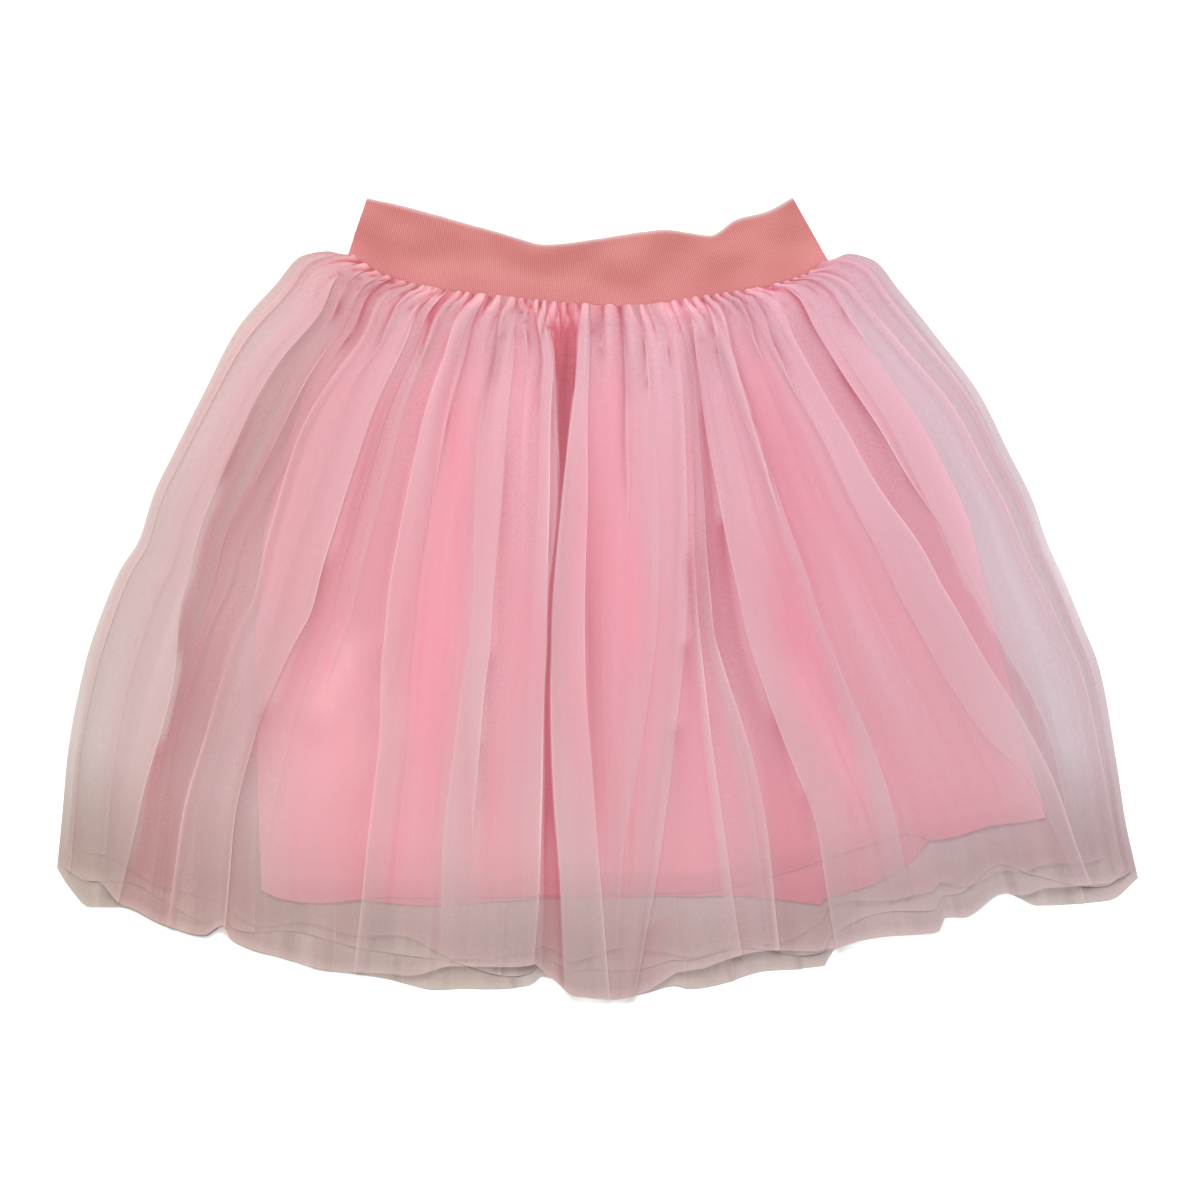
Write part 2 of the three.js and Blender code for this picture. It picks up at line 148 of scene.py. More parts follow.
def step_up(value, low, high):
    """0 below low, 1 above high, and smooth between them."""
    t = np.clip((value - low) / (high - low), 0, 1)
    return t * t * (3 - 2 * t)


def edge_point(edge, across):
    x = edge[0]["x"] + (edge[-1]["x"] - edge[0]["x"]) * across
    return np.stack([x, follow(edge, "x", "y", x)], -1)


def side_point(side, down):
    x = follow(SIDES, "down", f"{side}_x", down)
    return np.stack([x, follow(SIDES, "down", f"{side}_y", down)], -1)


def fan_point(across, down):
    share = down[..., None]
    return edge_point(SEAM, across) * (1 - share) + edge_point(HEM_LINE, across) * share


def plan(across, down):
    """Place on the flat-laid skirt: straight lines fan out to the hem, and bulge at the sides."""
    left = side_point("left", down) - fan_point(np.zeros_like(across), down)
    right = side_point("right", down) - fan_point(np.ones_like(across), down)
    place = fan_point(across, down)
    place += left * (1 - across)[..., None] ** BULGE_REACH
    place += right * across[..., None] ** BULGE_REACH
    stray = edge_point(HEM, across)[..., 1] - edge_point(HEM_LINE, across)[..., 1]
    place[..., 1] += stray * step_up(down, RAGGED_FROM, 1)
    return place


RAY_START = 0.05


def top_of(node, place):
    """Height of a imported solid's upper face under each place."""
    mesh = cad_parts[node].data
    tree = BVHTree.FromPolygons([v.co for v in mesh.vertices], [p.vertices for p in mesh.polygons])
    heights = np.empty(len(place))
    for i, (x, y) in enumerate(place):
        hit = tree.ray_cast(Vector((x, y, RAY_START)), Vector((0, 0, -1)))[0]
        if hit is None:
            hit = tree.find_nearest(Vector((x, y, 0.004)))[0]
        heights[i] = hit.z
    return heights


def evened(heights, rows, passes):
    """Heights with the facets of the solid smoothed away."""
    grid = heights.reshape(rows, -1)
    for _ in range(passes):
        padded = np.pad(grid, 1, mode="edge")
        beside = padded[1:-1, :-2] + padded[1:-1, 2:]
        along = padded[:-2, 1:-1] + padded[2:, 1:-1]
        grid = 0.5 * grid + 0.15 * beside + 0.1 * along
    return grid.ravel()


# Pleats of a ply: each is an S of three plies, a face, a return, and the next face. An edge is where
# the pleat shows its sharp fold, and lap is how far it is folded over: to the left of the edge where
# lap is positive, and to the right where it is negative. Both are shares of the way across the skirt,
# at these shares of the way down. The hidden fold of a soft pleat is round, and doesn't show. Where two
# sharp edges face each other, the shade between them ends at the facing one
STATIONS = (0.0, 0.12, 0.3, 0.5, 0.7, 0.85, 1.0)
FACE_SPACING = 0.003
FACE_COLUMNS = 6
RETURN_COLUMNS = 6
PLY_ROWS = 90
ROW_CROWDING = 1.4
LEAST_RUN = 0.012
TURN_WIDTH = 0.0015
SHADE_REACH = 0.02
LINE_STARTS = 0.2
LAP_OPENS = (0.0005, 0.006)


def station_line(values, down):
    rows = [{"down": d, "value": v} for d, v in zip(STATIONS, values)]
    return follow(rows, "down", "value", down)


def pleat_turns(pleat, down):
    """Where the pleat turns back and where it turns on again, and how much of it is there."""
    edge = station_line(pleat["edge"], down)
    lap = station_line(pleat["lap"], down)
    if "length" in pleat:
        lap = lap * (1 - step_up(down, 0.25 * pleat["length"], pleat["length"]))
    first = np.maximum(edge, edge - lap)
    second = np.minimum(edge, edge - lap)
    there = step_up(np.abs(lap), *LAP_OPENS)
    shade = station_line(np.broadcast_to(pleat.get("shade", 0.5), len(STATIONS)), down)
    crispness = 0.2 + 0.8 * np.sin(7 * down + 41 * pleat["edge"][3]) ** 2
    line = pleat.get("line", 0.5) * crispness * step_up(down, 0.0, LINE_STARTS)
    return {
        "first": first,
        "second": second,
        "there": there,
        "over_left": pleat["lap"][2] >= 0,
        "soft": pleat.get("soft", 1.0),
        "line": line,
        "shade": shade,
        "reach": pleat.get("reach", SHADE_REACH),
        "facing": station_line(pleat["facing"], down) if "facing" in pleat else None,
    }


def ply_columns(pleats):
    """Columns of the ply as (stretch, share along it): faces are even stretches, returns odd ones."""
    columns = []
    middles = [0.0] + [pleat["edge"][3] for pleat in pleats] + [1.0]
    for stretch in range(2 * len(pleats) + 1):
        if stretch % 2:
            count = RETURN_COLUMNS
        else:
            width = middles[stretch // 2 + 1] - middles[stretch // 2]
            count = max(FACE_COLUMNS, round(width / FACE_SPACING))
        columns += [(stretch, i / count) for i in range(count)]
    return columns + [(2 * len(pleats), 1.0)]


def fold_columns(pleats):
    """The columns that lie along a fold."""
    return [i for i, (stretch, share) in enumerate(ply_columns(pleats)) if stretch and share == 0]


def veil_over(turn, x):
    """How much of the two lower plies of a pleat is seen: none at its round hidden fold."""
    width = np.maximum(turn["first"] - turn["second"], 1e-6)
    share = np.clip((x - turn["second"]) / width, 0, 1)
    if not turn["over_left"]:
        share = 1 - share
    return 1 - turn["soft"] * turn["there"] * (1 - share ** 0.8)


def return_column(turn, share):
    ease = (1 - math.cos(math.pi * share)) / 2
    x = turn["first"] + (turn["second"] - turn["first"]) * ease
    high, low = (1.5, 0.5) if turn["over_left"] else (0.5, 1.5)
    layer = (high + (low - high) * share) * turn["there"]
    shown = turn["first"] if turn["over_left"] else turn["second"]
    line = turn["line"] * turn["there"] * np.exp(-((x - shown) / TURN_WIDTH) ** 2)
    return x, layer, line, veil_over(turn, x)


def face_column(before, after, share):
    start = before["second"]
    end = after["first"]
    ease = (1 - math.cos(math.pi * share)) / 2
    x = start + (end - start) * (0.5 * share + 0.5 * ease)
    left_high = 0.0 if before["over_left"] else 2.0
    right_high = 2.0 if after["over_left"] else 0.0
    middle = (before["first"] + after["second"]) / 2
    half = np.maximum((after["second"] - before["first"]) / 2, LEAST_RUN / 2)
    rise = step_up(x, middle - half, middle + half)
    layer = left_high * before["there"] * (1 - rise) + right_high * after["there"] * rise
    near_start = np.exp(-((x - start) / TURN_WIDTH) ** 2) * before["there"]
    near_end = np.exp(-((x - end) / TURN_WIDTH) ** 2) * after["there"]
    layer = layer + ((0.5 if left_high == 0 else 1.5) - left_high) * near_start
    layer = layer + ((0.5 if right_high == 0 else 1.5) - right_high) * near_end
    start_line = near_start * before["line"] * (left_high > 0)
    end_line = near_end * after["line"] * (right_high > 0)
    line = np.maximum(start_line, end_line)
    veil = np.ones_like(x)
    if before["over_left"]:
        veil = veil * np.where(x < before["first"], veil_over(before, x), 1)
    if not after["over_left"]:
        veil = veil * np.where(x > after["second"], veil_over(after, x), 1)
    return x, layer, line, veil


def shade_beside(turns, x):
    """Shade on the cloth that lies lower, beside the sharp edge of each pleat, fading away from it."""
    shade = np.zeros_like(x)
    for turn in turns:
        edge = turn["first"] if turn["over_left"] else turn["second"]
        beyond = (x - edge[:, None]) * (1 if turn["over_left"] else -1)
        strength = (turn["shade"] * turn["there"])[:, None] * step_up(beyond, 0.0002, 0.002)
        if turn["facing"] is not None:
            strength = strength * step_up(np.abs(turn["facing"] - edge)[:, None] - beyond, -0.001, 0.001)
        shade += strength * np.exp(-np.maximum(beyond, 0) / turn["reach"])
    return shade


def pleated_ply(pleats, down):
    """Place across, layer, fold line, veil and shade for every column of a pleated ply at each row."""
    side = {"there": np.zeros(len(down)), "soft": 0, "line": 0}
    left = {**side, "first": np.zeros(len(down)), "second": np.zeros(len(down)), "over_left": True}
    right = {**side, "first": np.ones(len(down)), "second": np.ones(len(down)), "over_left": False}
    turns = [left] + [pleat_turns(pleat, down) for pleat in pleats] + [right]
    made = []
    for stretch, share in ply_columns(pleats):
        k = stretch // 2
        if stretch % 2:
            made.append(return_column(turns[k + 1], share))
        else:
            made.append(face_column(turns[k], turns[k + 1], share))
    across, layer, line, veil = [np.stack([column[i] for column in made], 1) for i in range(4)]
    return across, layer, line, veil, shade_beside(turns[1:-1], across)


def sheet_object(name, place, cut, masks, creases=()):
    """A grid of cloth with its points moved to their places, creased sharply along some of its columns.
    Its UV map is the cloth as it was cut."""
    rows, columns = place.shape[:2]
    bm = bmesh.new()
    bm.loops.layers.uv.new("cut")
    bmesh.ops.create_grid(bm, x_segments=columns - 1, y_segments=rows - 1, size=0.5, calc_uvs=True)
    mesh = bpy.data.meshes.new(name)
    bm.to_mesh(mesh)
    bm.free()
    flat = np.empty(len(mesh.vertices) * 3)
    mesh.vertices.foreach_get("co", flat)
    flat = flat.reshape(-1, 3)
    column = np.rint((flat[:, 0] + 0.5) * (columns - 1)).astype(int)
    row = np.rint((0.5 - flat[:, 1]) * (rows - 1)).astype(int)
    mesh.vertices.foreach_set("co", place[row, column].astype(np.float32).ravel())
    for mask, values in masks.items():
        kind, part = ("FLOAT_VECTOR", "vector") if values.ndim == 3 else ("FLOAT", "value")
        attribute = mesh.attributes.new(mask, kind, "POINT")
        attribute.data.foreach_set(part, values[row, column].astype(np.float32).ravel())
    corner = np.empty(len(mesh.loops), int)
    mesh.loops.foreach_get("vertex_index", corner)
    mesh.uv_layers["cut"].data.foreach_set("uv", cut[row, column][corner].astype(np.float32).ravel())
    mesh.shade_smooth()
    ends = np.empty(2 * len(mesh.edges), int)
    mesh.edges.foreach_get("vertices", ends)
    ends = column[ends].reshape(-1, 2)
    creased = (ends[:, 0] == ends[:, 1]) & np.isin(ends[:, 0], creases)
    mesh.attributes.new("sharp_edge", "BOOLEAN", "EDGE").data.foreach_set("value", creased)
    mesh.update()
    piece = bpy.data.objects.new(name, mesh)
    bpy.context.scene.collection.objects.link(piece)
    return piece


def cut_place(place):
    """Where each point was on the flat cloth, in metres, from the lengths along its rows and columns."""
    middle = place[place.shape[0] // 2]
    u = np.concatenate([[0], np.cumsum(np.linalg.norm(np.diff(middle, axis=0), axis=1))])
    spine = place[:, place.shape[1] // 2]
    v = np.concatenate([[0], np.cumsum(np.linalg.norm(np.diff(spine, axis=0), axis=1))])
    return np.stack(np.broadcast_arrays(u[None, :], v[:, None]), -1)


SIDE_FOLD = 0.014
SIDE_FOLD_HEIGHT = 0.0014
FACET_SMOOTHING = 10
CLOTH_HALF_WALL = 0.0005
HEM_LINE_WIDTH = 0.0009

# Where the net is drawn in between two gathers along the seam, as shares of the way across
GATHER_LINES = (
    0.0, 0.028, 0.052, 0.073, 0.094, 0.108, 0.125, 0.15, 0.167, 0.185, 0.201, 0.223, 0.241, 0.26, 0.3,
    0.33, 0.356, 0.371, 0.385, 0.402, 0.419, 0.44, 0.458, 0.481, 0.508, 0.527, 0.565, 0.602, 0.62,
    0.6375, 0.665, 0.692, 0.71, 0.735, 0.756, 0.776, 0.796, 0.82, 0.844, 0.862, 0.879, 0.902, 0.921,
    0.938, 0.952, 0.975, 1.0,
)
GATHER_DEPTH = 0.07
SCALLOP = 0.0028
SCALLOP_DEPTH = 0.012
NOTCH_DEPTH = 0.05
SEAM_HEIGHT = 0.0074
SEAM_RISE = 0.03


def gather_tube(across):
    """Round little tubes of net between the gather lines: 0 in a valley and 1 on a crest."""
    phase = np.interp(across, GATHER_LINES, np.arange(len(GATHER_LINES)))
    return np.abs(np.sin(np.pi * phase)) ** 0.8


def gathered(place, height, across, down, rise):
    """Raises the gathers along the seam, lets their round ends ride up on the waistband, and gives the
    painted shade in the notches between them.
    """
    tube = gather_tube(across)
    height = SEAM_HEIGHT + (height - SEAM_HEIGHT) * step_up(down, -0.004, SEAM_RISE)
    height += rise * (tube - 0.2) * np.exp(-down / GATHER_DEPTH)
    place[..., 1] += SCALLOP * (tube ** 0.7 + 0.2) * np.exp(-down / SCALLOP_DEPTH)
    narrowing = 1 + down / NOTCH_DEPTH
    # Painted shade in the notches, narrowing and fading down the skirt
    valley = 1.8 * (1 - tube) ** narrowing * np.exp(-down / GATHER_DEPTH)
    return height, valley


# How the net's closeness drifts and streaks
DRIFT = 0.12
STREAK = 0.12
STREAK_KNOTS = 7
CLOSENESS_RANGE = (0.4, 1.6)


def closeness(across, down, seed):
    """Uneven closeness of the net: slow drifts, and streaks along its length."""
    drift = np.sin(29 * across + 3 * down + 1) + np.sin(47 * across - 7 * down) * np.cos(11 * down)
    knots = np.random.default_rng(seed).normal(0, 1, (STREAK_KNOTS, across.shape[1]))
    knots = (np.roll(knots, 1, 1) + 2 * knots + np.roll(knots, -1, 1)) / 3
    at = np.linspace(0, STREAK_KNOTS - 1, len(across))
    low = np.minimum(at.astype(int), STREAK_KNOTS - 2)
    ease = step_up(at - low, 0, 1)[:, None]
    streak = knots[low] * (1 - ease) + knots[low + 1] * ease
    return np.clip(1 + DRIFT * drift + STREAK * streak, *CLOSENESS_RANGE)


# A warmer light is painted onto the left of the skirt than onto the right
PAINTED_WARM_LIGHT = (1.0, 0.99, 0.88)


def blended(first, second, share):
    return first + (np.array(second) - first) * share[..., None]


def dyed_with_painted_light(net, across, down, shade, line, veil):
    """Colour of the net and how much it covers: by its place along the skirt, darker and closer where
    shade is painted, paler and closer at a fold or a cut edge, and warmer on the left by painted light."""
    shares = [share for share, colour in net["along"]]
    along = [np.interp(down, shares, [colour[i] for share, colour in net["along"]]) for i in range(4)]
    dye_and_painted_light = blended(blended(np.stack(along[:3], -1), net["deep_tone_and_shade"], shade), net["pale"], line)
    dye_and_painted_light *= blended(np.ones(3), PAINTED_WARM_LIGHT, 1 - across)
    cover = (net["cover"] + net["shade_cover"] * shade + along[3]) * veil + net["line_cover"] * line
    return dye_and_painted_light, cover


# Rims where a back ply shows alone, darkened by painted shade, and side folds where a front ply thins
# out
HEM_RIM = 0.05
SIDE_RIM = 0.033
SIDE_RIM_SHADE = 0.5
SIDE_THINNING = 0.03
SIDE_THINNED_BY = 0.45


def tulle_ply(name, node, net, pleats, hem_up, side_in, ply_gap, seed,
              gather=0.0, folds_down=True, hem_line=0.25):
    """One ply of net on its solid's form, with its pleats folded into it."""
    down_share = (np.arange(PLY_ROWS) / (PLY_ROWS - 1)) ** ROW_CROWDING
    across, layer, line, veil, shade = pleated_ply(pleats, down_share)
    across = side_in + (1 - 2 * side_in) * np.clip(across, 0, 1)
    hem_x = HEM[0]["x"] + (HEM[-1]["x"] - HEM[0]["x"]) * across
    down = down_share[:, None] * (1 - hem_up(hem_x) / SKIRT_LENGTH)
    place = plan(across, down)
    height = evened(top_of(node, place.reshape(-1, 2)), PLY_ROWS, FACET_SMOOTHING)
    height = height.reshape(across.shape)
    if gather:
        height, valley = gathered(place, height, across, down, gather)
        # Painted shade in the notches between the gathers
        shade = np.maximum(shade, valley)
    height += ply_gap * layer - CLOTH_HALF_WALL
    nearest = np.minimum(across - side_in, 1 - side_in - across)
    above_hem = (1 - down_share[:, None]) * SKIRT_LENGTH
    veil = veil * closeness(across, down, seed)
    if folds_down:
        fold_down = 1 - step_up(nearest, 0, SIDE_FOLD)
        height += (np.minimum(height, SIDE_FOLD_HEIGHT) - height) * fold_down
        from_side = nearest * (HEM[-1]["x"] - HEM[0]["x"])
        veil = veil * (1 - SIDE_THINNED_BY * np.exp(-from_side / SIDE_THINNING))
    else:
        # Painted shade along the sides and the hem of a back ply
        beside = SIDE_RIM_SHADE * np.exp(-nearest / SIDE_RIM)
        shade = np.maximum(beside, np.exp(-above_hem / HEM_RIM))
    hem = hem_line * np.exp(-(above_hem / HEM_LINE_WIDTH) ** 2)
    dye_and_painted_light, cover = dyed_with_painted_light(net, across, down, np.clip(shade, 0, 1), np.maximum(line, hem), veil)
    masks = {"dye_and_painted_light": dye_and_painted_light, "cover": cover}
    points = np.concatenate([place, height[..., None]], -1)
    return sheet_object(name, points, cut_place(points), masks, fold_columns(pleats))


def shader_group(name, inputs, outputs):
    """Empty node group with named sockets, as (group, input node, output node)."""
    group = bpy.data.node_groups.new(name, "ShaderNodeTree")
    for socket, kind, default in inputs:
        made = group.interface.new_socket(socket, in_out="INPUT", socket_type=kind)
        if default is not None:
            made.default_value = default
    for socket, kind in outputs:
        group.interface.new_socket(socket, in_out="OUTPUT", socket_type=kind)
    return group, group.nodes.new("NodeGroupInput"), group.nodes.new("NodeGroupOutput")


def math_node(tree, operation, first, second=None, third=None):
    node = tree.nodes.new("ShaderNodeMath")
    node.operation = operation
    for socket, value in zip(node.inputs, (first, second, third)):
        if isinstance(value, bpy.types.NodeSocket):
            tree.links.new(value, socket)
        elif value is not None:
            socket.default_value = value
    return node.outputs[0]


def noise_node(tree, vector, scale, detail=0.0):
    """Soft noise with its own scale along each direction of the cloth, from 0 to 1."""
    stretch = tree.nodes.new("ShaderNodeMapping")
    stretch.inputs["Scale"].default_value = scale
    tree.links.new(vector, stretch.inputs["Vector"])
    cloud = tree.nodes.new("ShaderNodeTexNoise")
    cloud.noise_dimensions = "2D"
    cloud.inputs["Scale"].default_value = 1.0
    cloud.inputs["Detail"].default_value = detail
    tree.links.new(stretch.outputs[0], cloud.inputs["Vector"])
    return cloud.outputs["Fac"]


THREADS_PER_METRE = 850.0
THREAD_SLANT = 0.577
GRAIN = (520.0, 400.0, 1.0)

# How close the net lies at least, and how much a thread and its grain add
NET_BETWEEN = 0.82
NET_THREAD = 0.12
NET_GRAIN = 0.2


def make_net_group():
    """Soft net: how close its threads lie, its fine grain and the height of its threads."""
    outputs = [(name, "NodeSocketFloat") for name in ("Closeness", "Grain", "Threads")]
    group, given, result = shader_group("soft net", [("Vector", "NodeSocketVector", None)], outputs)
    vector = given.outputs["Vector"]
    apart = group.nodes.new("ShaderNodeSeparateXYZ")
    group.links.new(vector, apart.inputs[0])
    aslant = math_node(group, "MULTIPLY", apart.outputs["Y"], THREAD_SLANT)
    waves = []
    for operation in ("ADD", "SUBTRACT"):
        thread = math_node(group, operation, apart.outputs["X"], aslant)
        turns = math_node(group, "MULTIPLY", thread, math.pi * THREADS_PER_METRE)
        wave = math_node(group, "SINE", turns)
        waves.append(math_node(group, "MULTIPLY", wave, wave))
    threads = math_node(group, "MAXIMUM", waves[0], waves[1])
    grain = noise_node(group, vector, GRAIN)
    closeness = math_node(group, "MULTIPLY_ADD", threads, NET_THREAD, NET_BETWEEN)
    closeness = math_node(group, "MULTIPLY_ADD", grain, NET_GRAIN, closeness)
    group.links.new(closeness, result.inputs["Closeness"])
    group.links.new(grain, result.inputs["Grain"])
    group.links.new(threads, result.inputs["Threads"])
    return group


NET = make_net_group()


def mask_node(tree, mask):
    node = tree.nodes.new("ShaderNodeAttribute")
    node.attribute_name = mask
    return node.outputs["Fac"]


def mix_node(tree, share, first, second):
    node = tree.nodes.new("ShaderNodeMix")
    node.data_type = "RGBA"
    tree.links.new(share, node.inputs["Factor"])
    for socket, colour in ((node.inputs["A"], first), (node.inputs["B"], second)):
        if isinstance(colour, bpy.types.NodeSocket):
            tree.links.new(colour, socket)
        else:
            socket.default_value = colour
    return node.outputs["Result"]


def tulle_material(name):
    """Soft net, see-through between its threads, in the colour, painted shade and light included, and
    closeness that the cloth carries.
    """
    material = bpy.data.materials.new(name)
    material.use_nodes = True
    tree = material.node_tree
    shader = tree.nodes["Principled BSDF"]
    shader.inputs["Specular IOR Level"].default_value = 0.2
    uv = tree.nodes.new("ShaderNodeUVMap")
    uv.uv_map = "cut"
    net = tree.nodes.new("ShaderNodeGroup")
    net.node_tree = NET
    tree.links.new(uv.outputs[0], net.inputs["Vector"])
    alpha = math_node(tree, "MULTIPLY", net.outputs["Closeness"], mask_node(tree, "cover"))
    tree.links.new(alpha, shader.inputs["Alpha"])
    dye_and_painted_light = tree.nodes.new("ShaderNodeAttribute")
    dye_and_painted_light.attribute_name = "dye_and_painted_light"
    tree.links.new(dye_and_painted_light.outputs["Color"], shader.inputs["Base Color"])
    rough = math_node(tree, "MULTIPLY_ADD", net.outputs["Grain"], 0.2, 0.75)
    tree.links.new(rough, shader.inputs["Roughness"])
    return material


def raise_threads(material):
    """Bump of the net's threads, on the plies that lie outermost."""
    tree = material.node_tree
    net = next(node for node in tree.nodes if node.bl_idname == "ShaderNodeGroup")
    bump = tree.nodes.new("ShaderNodeBump")
    bump.inputs["Strength"].default_value = 0.3
    bump.inputs["Distance"].default_value = 0.0002
    tree.links.new(net.outputs["Threads"], bump.inputs["Height"])
    tree.links.new(bump.outputs[0], tree.nodes["Principled BSDF"].inputs["Normal"])


def finish_sheet(piece, node, material):
    piece.data.materials.append(material)
    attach(piece, "root")
    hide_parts(node)


# How much the net covers, in the open, at a fold line and where shade is painted, and its colour at a
# fold line, in painted shade, and along its length. The last number of each row along it is cover added
# there
# The back plies carry the net's colour greyed and darkened as painted shade
BACK_DYE_IN_SHADE = {
    "cover": 0.52,
    "line_cover": 0.1,
    "shade_cover": 0.35,
    "pale": (0.60, 0.56, 0.54),
    "deep_tone_and_shade": (0.32, 0.245, 0.235),
    "along": [
        (0.0, (0.56, 0.49, 0.51, 0.1)),
        (0.5, (0.61, 0.57, 0.61, 0.0)),
        (0.8, (0.59, 0.56, 0.60, 0.0)),
        (0.92, (0.46, 0.39, 0.395, 0.05)),
    ],
}
BACK_NET = tulle_material("net in shade")
raise_threads(BACK_NET)
BACK_PLEATS = 18


def back_pleat_rows(count, first, lap):
    """Even small pleats all across a ply that lies underneath, no two folded over alike."""
    rows = []
    for k in range(count):
        at = first + (1 - 2 * first) * (k + 0.5) / count + 0.006 * math.sin(2.7 * k)
        width = lap * (1 + 0.4 * math.sin(1.9 * k + 0.5))
        rows.append({
            "edge": tuple(at + 0.003 * math.sin(1.3 * k + 2.0 * s) for s in range(len(STATIONS))),
            "lap": tuple(width * f for f in (0.5, 0.9, 1.0, 1.0, 0.9, 0.8, 0.7)),
            "soft": 0.9, "shade": 0.2, "line": 0.25,
        })
    return rows


tulle_top_back = tulle_ply("outer_tulle_back", "tulle_top_back", BACK_DYE_IN_SHADE,
                           back_pleat_rows(BACK_PLEATS, 0.03, 0.02), np.zeros_like,
                           side_in=0.0, ply_gap=0.00025, seed=1, folds_down=False)
finish_sheet(tulle_top_back, "tulle_top_back", BACK_NET)


# Under tulle, back
# A second ply of the same net behind the lining, cut a little shorter and a little narrower.
UNDER_BACK_UP = 0.014
UNDER_SIDE_IN = 0.008
UNDER_BACK_PLEATS = 11


def under_back_hem_up(x):
    return UNDER_BACK_UP + 0.004 * np.sin(33 * x) + 0.003 * np.sin(71 * x + 2)


tulle_under_back = tulle_ply("under_tulle_back", "tulle_under_back", BACK_DYE_IN_SHADE,
                             back_pleat_rows(UNDER_BACK_PLEATS, 0.05, 0.03), under_back_hem_up,
                             side_in=UNDER_SIDE_IN, ply_gap=0.0002, seed=2, folds_down=False,
                             hem_line=0.2)
finish_sheet(tulle_under_back, "tulle_under_back", BACK_NET)


# Lining, back and front
# A short slip of smooth woven pink cloth between the two sides of net, sewn into the same seam. Its
# hem is turned up once and stitched, and it lies nearly flat with a few soft creases of its own.
LINING_SIDES = [
    {"down": 0, "left": 0.04, "right": 0.96},
    {"down": 0.04, "left": 0.085, "right": 0.925},
    {"down": 0.12, "left": 0.1, "right": 0.92},
    {"down": 0.3, "left": 0.108, "right": 0.926},
    {"down": 0.42, "left": 0.117, "right": 0.932},
    {"down": 0.5, "left": 0.128, "right": 0.929},
    {"down": 0.72, "left": 0.168, "right": 0.914},
    {"down": 0.9, "left": 0.185, "right": 0.928},
    {"down": 1, "left": 0.19, "right": 0.93},
]
LINING_FRONT_HEM = [
    {"across": 0, "down": 0.918},
    {"across": 0.02, "down": 0.922},
    {"across": 0.167, "down": 0.89},
    {"across": 0.37, "down": 0.869},
    {"across": 0.44, "down": 0.864},
    {"across": 0.62, "down": 0.871},
    {"across": 0.76, "down": 0.863},
    {"across": 0.827, "down": 0.86},
    {"across": 0.863, "down": 0.882},
    {"across": 1, "down": 0.885},
]
LINING_BACK_HEM = [
    {"across": 0, "down": 0.909},
    {"across": 0.18, "down": 0.897},
    {"across": 0.44, "down": 0.868},
    {"across": 0.57, "down": 0.876},
    {"across": 0.69, "down": 0.914},
    {"across": 0.73, "down": 0.925},
    {"across": 0.77, "down": 0.922},
    {"across": 0.82, "down": 0.903},
    {"across": 0.86, "down": 0.877},
    {"across": 1, "down": 0.879},
]
LINING_COLUMNS = 200
LINING_ROWS = 160
LINING_HEM_DEPTH = 0.014
LINING_SIDE_BLUSH = 0.022
LINING_SHADED = (0.0, 0.16)
STITCH_WIDTH = 0.001
HEM_DOUBLED = (-0.07, 0.02)

# Soft creases in the front lining: from and to places in metres, half width and height
LINING_CREASES = [
    {"from": (-0.145, -0.03), "to": (-0.172, -0.075), "half": 0.013, "rise": 0.003},
    {"from": (-0.118, -0.02), "to": (-0.14, -0.09), "half": 0.007, "rise": -0.0015},
    {"from": (-0.155, 0.01), "to": (-0.135, -0.05), "half": 0.008, "rise": -0.0012},
    {"from": (-0.125, -0.075), "to": (-0.18, -0.12), "half": 0.02, "rise": 0.0014},
    {"from": (0.12, -0.05), "to": (0.16, -0.12), "half": 0.012, "rise": 0.0012},
    {"from": (-0.02, -0.1), "to": (-0.03, -0.17), "half": 0.012, "rise": 0.001},
]


CREASE_FULL = 0.003


def crease_height(place, creases):
    """Soft ridges and troughs that die away at their ends."""
    height = np.zeros(place.shape[:-1])
    for crease in creases:
        start = np.array(crease["from"])
        run = np.array(crease["to"]) - start
        length = np.linalg.norm(run)
        along = ((place - start) @ run) / length
        aside = (place - start) @ np.array([-run[1], run[0]]) / length
        inside = step_up(along, -0.3 * length, 0.2 * length)
        inside = inside * (1 - step_up(along, 0.8 * length, 1.3 * length))
        height += crease["rise"] * inside * np.exp(-(aside / crease["half"]) ** 2)
    return height


def lining_panel(name, node, hem, creases):
    share_across = np.linspace(0, 1, LINING_COLUMNS)[None, :]
    share_down = np.linspace(0, 1, LINING_ROWS)[:, None]
    down = share_down * follow(hem, "across", "down", share_across)
    left = follow(LINING_SIDES, "down", "left", down)
    right = follow(LINING_SIDES, "down", "right", down)
    place = plan(left + (right - left) * share_across, down)
    height = evened(top_of(node, place.reshape(-1, 2)), LINING_ROWS, FACET_SMOOTHING).reshape(down.shape)
    bend = crease_height(place, creases)
    height += bend - 0.0004
    from_hem = (1 - share_down) * 0.38 + 0 * share_across
    turned = 1 - step_up(from_hem, LINING_HEM_DEPTH - 0.0006, LINING_HEM_DEPTH + 0.0006)
    height += 0.0003 * turned
    stitch = np.exp(-((from_hem - LINING_HEM_DEPTH + 0.0015) / STITCH_WIDTH) ** 2)
    doubled = 0.1 + 0.5 * step_up(place[..., 0], *HEM_DOUBLED)
    points = np.concatenate([place, height[..., None]], -1)
    from_side = np.minimum(place[..., 0] - place[:, :1, 0], place[:, -1:, 0] - place[..., 0])
    # Painted shade over the right of the lining and in the troughs of its creases, and a painted
    # highlight on their ridges
    masks = {"hem": np.maximum(stitch, turned) * doubled, "bend": bend / CREASE_FULL,
             "shaded": step_up(place[..., 0], *LINING_SHADED),
             "side": np.exp(-from_side / LINING_SIDE_BLUSH)}
    return sheet_object(name, points, cut_place(points), masks)


WEAVE_PER_METRE = 700.0


